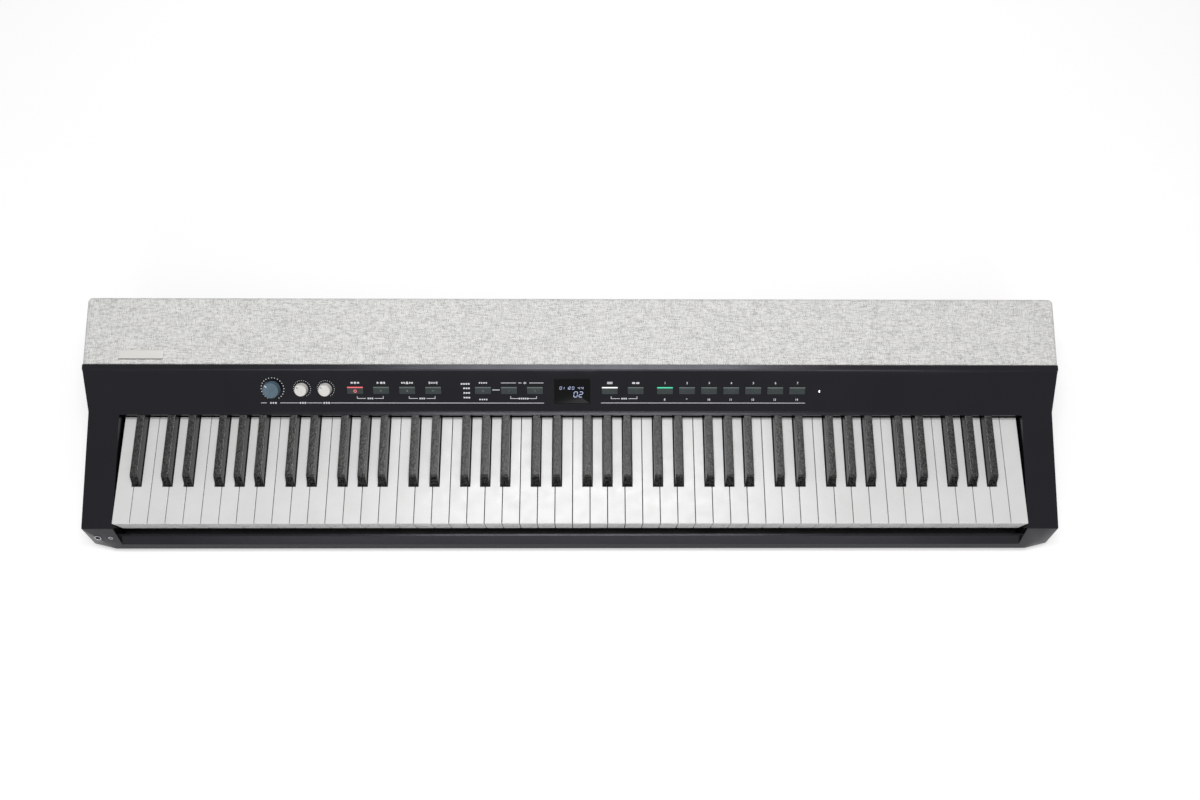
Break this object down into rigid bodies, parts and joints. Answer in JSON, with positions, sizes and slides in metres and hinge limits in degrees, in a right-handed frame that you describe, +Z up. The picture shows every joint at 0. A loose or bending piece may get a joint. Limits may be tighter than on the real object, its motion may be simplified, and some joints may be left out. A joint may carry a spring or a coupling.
{
  "type": "digital piano",
  "caption": "Slab digital piano with full-size keys, a sloped control panel, a front rail and a cloth-covered speaker lid",
  "frame": {"origin": "On the floor under the middle of the whole piano, at the foot bottoms", "axes": "+X runs from the bass end to the treble end, +Y from the player to the back, +Z up"},
  "size_m": [1.312, 0.3234, 0.1253],
  "materials": {
    "case_plastic": "dark charcoal moulded plastic, fine grain",
    "inner_plastic": "black moulded plastic, plain",
    "key_white": "ivory white, satin gloss",
    "key_black": "black, fine matt grain",
    "speaker_cloth": "light warm grey woven cloth",
    "speaker_paper": "dark pressed paper and steel, matt",
    "button_plastic": "dark slate plastic, satin",
    "knob_blue": "slate blue plastic, matt",
    "knob_pale": "off-white plastic, matt",
    "display_plastic": "clear black window plastic, polished",
    "circuit_board": "green solder-resist board",
    "nickel": "nickel-plated bushes",
    "foot_rubber": "black rubber"
  },
  "bodies": {
    "case": {"top_case": "case_plastic", "bottom_case": "inner_plastic", "foot_front_left": "foot_rubber", "foot_front_right": "foot_rubber", "foot_rear_left": "foot_rubber", "foot_rear_right": "foot_rubber", "grille_cloth": "speaker_cloth", "grille_frame": "inner_plastic", "speaker_left": "speaker_paper", "speaker_right": "speaker_paper", "key_chassis": "inner_plastic", "display_window": "display_plastic", "display_module": "display_plastic", "panel_board": "circuit_board", "main_board": "circuit_board", "headphone_sockets": "nickel", "rear_sockets": "inner_plastic"},
    "white_key_c4": {"white_key_c4": "key_white"},
    "white_key_d4": {"white_key_d4": "key_white"},
    "white_key_e4": {"white_key_e4": "key_white"},
    "white_key_f4": {"white_key_f4": "key_white"},
    "white_key_g4": {"white_key_g4": "key_white"},
    "white_key_a4": {"white_key_a4": "key_white"},
    "white_key_b4": {"white_key_b4": "key_white"},
    "black_key_c_sharp4": {"black_key_c_sharp4": "key_black"},
    "black_key_d_sharp4": {"black_key_d_sharp4": "key_black"},
    "black_key_f_sharp4": {"black_key_f_sharp4": "key_black"},
    "black_key_g_sharp4": {"black_key_g_sharp4": "key_black"},
    "black_key_a_sharp4": {"black_key_a_sharp4": "key_black"},
    "white_keys_octave_1": {"white_keys_octave_1": "key_white"},
    "black_keys_octave_1": {"black_keys_octave_1": "key_black"},
    "white_keys_octave_2": {"white_keys_octave_2": "key_white"},
    "black_keys_octave_2": {"black_keys_octave_2": "key_black"},
    "white_keys_octave_3": {"white_keys_octave_3": "key_white"},
    "black_keys_octave_3": {"black_keys_octave_3": "key_black"},
    "white_keys_octave_5": {"white_keys_octave_5": "key_white"},
    "black_keys_octave_5": {"black_keys_octave_5": "key_black"},
    "white_keys_octave_6": {"white_keys_octave_6": "key_white"},
    "black_keys_octave_6": {"black_keys_octave_6": "key_black"},
    "white_keys_octave_7": {"white_keys_octave_7": "key_white"},
    "black_keys_octave_7": {"black_keys_octave_7": "key_black"},
    "button_record": {"button_record": "button_plastic"},
    "button_play": {"button_play": "button_plastic"},
    "button_metronome": {"button_metronome": "button_plastic"},
    "button_rhythm": {"button_rhythm": "button_plastic"},
    "button_function": {"button_function": "button_plastic"},
    "button_tempo_down": {"button_tempo_down": "button_plastic"},
    "button_tempo_up": {"button_tempo_up": "button_plastic"},
    "button_layer": {"button_layer": "button_plastic"},
    "button_split": {"button_split": "button_plastic"},
    "button_sound_1": {"button_sound_1": "button_plastic"},
    "button_sound_2": {"button_sound_2": "button_plastic"},
    "button_sound_3": {"button_sound_3": "button_plastic"},
    "button_sound_4": {"button_sound_4": "button_plastic"},
    "button_sound_5": {"button_sound_5": "button_plastic"},
    "button_sound_6": {"button_sound_6": "button_plastic"},
    "button_sound_7": {"button_sound_7": "button_plastic"},
    "knob_volume": {"knob_volume": "knob_blue"},
    "knob_bass": {"knob_bass": "knob_pale"},
    "knob_treble": {"knob_treble": "knob_pale"}
  },
  "joints": [
    {"name": "white_key_c4_hinge", "type": "hinge", "parent": "case", "child": "white_key_c4", "pos_m": [-0.05875, 0.09285, 0.052], "axis": [1, 0, 0], "range_deg": [0, 2.5], "stiffness_Nm_per_rad": 0.6, "springref_deg": -16.04},
    {"name": "white_key_d4_hinge", "type": "hinge", "parent": "case", "child": "white_key_d4", "pos_m": [-0.03525, 0.09285, 0.052], "axis": [1, 0, 0], "range_deg": [0, 2.5], "stiffness_Nm_per_rad": 0.6, "springref_deg": -16.04},
    {"name": "white_key_e4_hinge", "type": "hinge", "parent": "case", "child": "white_key_e4", "pos_m": [-0.01175, 0.09285, 0.052], "axis": [1, 0, 0], "range_deg": [0, 2.5], "stiffness_Nm_per_rad": 0.6, "springref_deg": -16.04},
    {"name": "white_key_f4_hinge", "type": "hinge", "parent": "case", "child": "white_key_f4", "pos_m": [0.01175, 0.09285, 0.052], "axis": [1, 0, 0], "range_deg": [0, 2.5], "stiffness_Nm_per_rad": 0.6, "springref_deg": -16.04},
    {"name": "white_key_g4_hinge", "type": "hinge", "parent": "case", "child": "white_key_g4", "pos_m": [0.03525, 0.09285, 0.052], "axis": [1, 0, 0], "range_deg": [0, 2.5], "stiffness_Nm_per_rad": 0.6, "springref_deg": -16.04},
    {"name": "white_key_a4_hinge", "type": "hinge", "parent": "case", "child": "white_key_a4", "pos_m": [0.05875, 0.09285, 0.052], "axis": [1, 0, 0], "range_deg": [0, 2.5], "stiffness_Nm_per_rad": 0.6, "springref_deg": -16.04},
    {"name": "white_key_b4_hinge", "type": "hinge", "parent": "case", "child": "white_key_b4", "pos_m": [0.08225, 0.09285, 0.052], "axis": [1, 0, 0], "range_deg": [0, 2.5], "stiffness_Nm_per_rad": 0.6, "springref_deg": -16.04},
    {"name": "black_key_c_sharp4_hinge", "type": "hinge", "parent": "case", "child": "black_key_c_sharp4", "pos_m": [-0.04935, 0.09285, 0.052], "axis": [1, 0, 0], "range_deg": [0, 3], "stiffness_Nm_per_rad": 0.6, "springref_deg": -16.04},
    {"name": "black_key_d_sharp4_hinge", "type": "hinge", "parent": "case", "child": "black_key_d_sharp4", "pos_m": [-0.02115, 0.09285, 0.052], "axis": [1, 0, 0], "range_deg": [0, 3], "stiffness_Nm_per_rad": 0.6, "springref_deg": -16.04},
    {"name": "black_key_f_sharp4_hinge", "type": "hinge", "parent": "case", "child": "black_key_f_sharp4", "pos_m": [0.02014, 0.09285, 0.052], "axis": [1, 0, 0], "range_deg": [0, 3], "stiffness_Nm_per_rad": 0.6, "springref_deg": -16.04},
    {"name": "black_key_g_sharp4_hinge", "type": "hinge", "parent": "case", "child": "black_key_g_sharp4", "pos_m": [0.047, 0.09285, 0.052], "axis": [1, 0, 0], "range_deg": [0, 3], "stiffness_Nm_per_rad": 0.6, "springref_deg": -16.04},
    {"name": "black_key_a_sharp4_hinge", "type": "hinge", "parent": "case", "child": "black_key_a_sharp4", "pos_m": [0.07386, 0.09285, 0.052], "axis": [1, 0, 0], "range_deg": [0, 3], "stiffness_Nm_per_rad": 0.6, "springref_deg": -16.04},
    {"name": "white_keys_octave_1_hinge", "type": "hinge", "parent": "case", "child": "white_keys_octave_1", "pos_m": [-0.50525, 0.09285, 0.052], "axis": [1, 0, 0], "range_deg": [0, 2.5], "stiffness_Nm_per_rad": 5.4, "springref_deg": -16.04},
    {"name": "black_keys_octave_1_hinge", "type": "hinge", "parent": "case", "child": "black_keys_octave_1", "pos_m": [-0.50525, 0.09285, 0.052], "axis": [1, 0, 0], "range_deg": [0, 3], "stiffness_Nm_per_rad": 3.6, "springref_deg": -16.04},
    {"name": "white_keys_octave_2_hinge", "type": "hinge", "parent": "case", "child": "white_keys_octave_2", "pos_m": [-0.31725, 0.09285, 0.052], "axis": [1, 0, 0], "range_deg": [0, 2.5], "stiffness_Nm_per_rad": 4.2, "springref_deg": -16.04},
    {"name": "black_keys_octave_2_hinge", "type": "hinge", "parent": "case", "child": "black_keys_octave_2", "pos_m": [-0.31725, 0.09285, 0.052], "axis": [1, 0, 0], "range_deg": [0, 3], "stiffness_Nm_per_rad": 3, "springref_deg": -16.04},
    {"name": "white_keys_octave_3_hinge", "type": "hinge", "parent": "case", "child": "white_keys_octave_3", "pos_m": [-0.15275, 0.09285, 0.052], "axis": [1, 0, 0], "range_deg": [0, 2.5], "stiffness_Nm_per_rad": 4.2, "springref_deg": -16.04},
    {"name": "black_keys_octave_3_hinge", "type": "hinge", "parent": "case", "child": "black_keys_octave_3", "pos_m": [-0.15275, 0.09285, 0.052], "axis": [1, 0, 0], "range_deg": [0, 3], "stiffness_Nm_per_rad": 3, "springref_deg": -16.04},
    {"name": "white_keys_octave_5_hinge", "type": "hinge", "parent": "case", "child": "white_keys_octave_5", "pos_m": [0.17625, 0.09285, 0.052], "axis": [1, 0, 0], "range_deg": [0, 2.5], "stiffness_Nm_per_rad": 4.2, "springref_deg": -16.04},
    {"name": "black_keys_octave_5_hinge", "type": "hinge", "parent": "case", "child": "black_keys_octave_5", "pos_m": [0.17625, 0.09285, 0.052], "axis": [1, 0, 0], "range_deg": [0, 3], "stiffness_Nm_per_rad": 3, "springref_deg": -16.04},
    {"name": "white_keys_octave_6_hinge", "type": "hinge", "parent": "case", "child": "white_keys_octave_6", "pos_m": [0.34075, 0.09285, 0.052], "axis": [1, 0, 0], "range_deg": [0, 2.5], "stiffness_Nm_per_rad": 4.2, "springref_deg": -16.04},
    {"name": "black_keys_octave_6_hinge", "type": "hinge", "parent": "case", "child": "black_keys_octave_6", "pos_m": [0.34075, 0.09285, 0.052], "axis": [1, 0, 0], "range_deg": [0, 3], "stiffness_Nm_per_rad": 3, "springref_deg": -16.04},
    {"name": "white_keys_octave_7_hinge", "type": "hinge", "parent": "case", "child": "white_keys_octave_7", "pos_m": [0.517, 0.09285, 0.052], "axis": [1, 0, 0], "range_deg": [0, 2.5], "stiffness_Nm_per_rad": 4.8, "springref_deg": -16.04},
    {"name": "black_keys_octave_7_hinge", "type": "hinge", "parent": "case", "child": "black_keys_octave_7", "pos_m": [0.517, 0.09285, 0.052], "axis": [1, 0, 0], "range_deg": [0, 3], "stiffness_Nm_per_rad": 3, "springref_deg": -16.04},
    {"name": "button_record_press", "type": "slide", "parent": "case", "child": "button_record", "axis": [0, -0.5547, 0.8321], "range_m": [-0.0008, 0], "stiffness_N_per_m": 800, "springref_m": 0.002},
    {"name": "button_play_press", "type": "slide", "parent": "case", "child": "button_play", "axis": [0, -0.5547, 0.8321], "range_m": [-0.0008, 0], "stiffness_N_per_m": 800, "springref_m": 0.002},
    {"name": "button_metronome_press", "type": "slide", "parent": "case", "child": "button_metronome", "axis": [0, -0.5547, 0.8321], "range_m": [-0.0008, 0], "stiffness_N_per_m": 800, "springref_m": 0.002},
    {"name": "button_rhythm_press", "type": "slide", "parent": "case", "child": "button_rhythm", "axis": [0, -0.5547, 0.8321], "range_m": [-0.0008, 0], "stiffness_N_per_m": 800, "springref_m": 0.002},
    {"name": "button_function_press", "type": "slide", "parent": "case", "child": "button_function", "axis": [0, -0.5547, 0.8321], "range_m": [-0.0008, 0], "stiffness_N_per_m": 800, "springref_m": 0.002},
    {"name": "button_tempo_down_press", "type": "slide", "parent": "case", "child": "button_tempo_down", "axis": [0, -0.5547, 0.8321], "range_m": [-0.0008, 0], "stiffness_N_per_m": 800, "springref_m": 0.002},
    {"name": "button_tempo_up_press", "type": "slide", "parent": "case", "child": "button_tempo_up", "axis": [0, -0.5547, 0.8321], "range_m": [-0.0008, 0], "stiffness_N_per_m": 800, "springref_m": 0.002},
    {"name": "button_layer_press", "type": "slide", "parent": "case", "child": "button_layer", "axis": [0, -0.5547, 0.8321], "range_m": [-0.0008, 0], "stiffness_N_per_m": 800, "springref_m": 0.002},
    {"name": "button_split_press", "type": "slide", "parent": "case", "child": "button_split", "axis": [0, -0.5547, 0.8321], "range_m": [-0.0008, 0], "stiffness_N_per_m": 800, "springref_m": 0.002},
    {"name": "button_sound_1_press", "type": "slide", "parent": "case", "child": "button_sound_1", "axis": [0, -0.5547, 0.8321], "range_m": [-0.0008, 0], "stiffness_N_per_m": 800, "springref_m": 0.002},
    {"name": "button_sound_2_press", "type": "slide", "parent": "case", "child": "button_sound_2", "axis": [0, -0.5547, 0.8321], "range_m": [-0.0008, 0], "stiffness_N_per_m": 800, "springref_m": 0.002},
    {"name": "button_sound_3_press", "type": "slide", "parent": "case", "child": "button_sound_3", "axis": [0, -0.5547, 0.8321], "range_m": [-0.0008, 0], "stiffness_N_per_m": 800, "springref_m": 0.002},
    {"name": "button_sound_4_press", "type": "slide", "parent": "case", "child": "button_sound_4", "axis": [0, -0.5547, 0.8321], "range_m": [-0.0008, 0], "stiffness_N_per_m": 800, "springref_m": 0.002},
    {"name": "button_sound_5_press", "type": "slide", "parent": "case", "child": "button_sound_5", "axis": [0, -0.5547, 0.8321], "range_m": [-0.0008, 0], "stiffness_N_per_m": 800, "springref_m": 0.002},
    {"name": "button_sound_6_press", "type": "slide", "parent": "case", "child": "button_sound_6", "axis": [0, -0.5547, 0.8321], "range_m": [-0.0008, 0], "stiffness_N_per_m": 800, "springref_m": 0.002},
    {"name": "button_sound_7_press", "type": "slide", "parent": "case", "child": "button_sound_7", "axis": [0, -0.5547, 0.8321], "range_m": [-0.0008, 0], "stiffness_N_per_m": 800, "springref_m": 0.002},
    {"name": "knob_volume_turn", "type": "hinge", "parent": "case", "child": "knob_volume", "pos_m": [-0.404, 0.04047, 0.09872], "axis": [0, -0.5547, 0.8321], "range_deg": [-195, 105]},
    {"name": "knob_bass_turn", "type": "hinge", "parent": "case", "child": "knob_bass", "pos_m": [-0.3643, 0.04047, 0.09872], "axis": [0, -0.5547, 0.8321], "range_deg": [-195, 105]},
    {"name": "knob_treble_turn", "type": "hinge", "parent": "case", "child": "knob_treble", "pos_m": [-0.3324, 0.04047, 0.09872], "axis": [0, -0.5547, 0.8321], "range_deg": [-195, 105]}
  ]
}
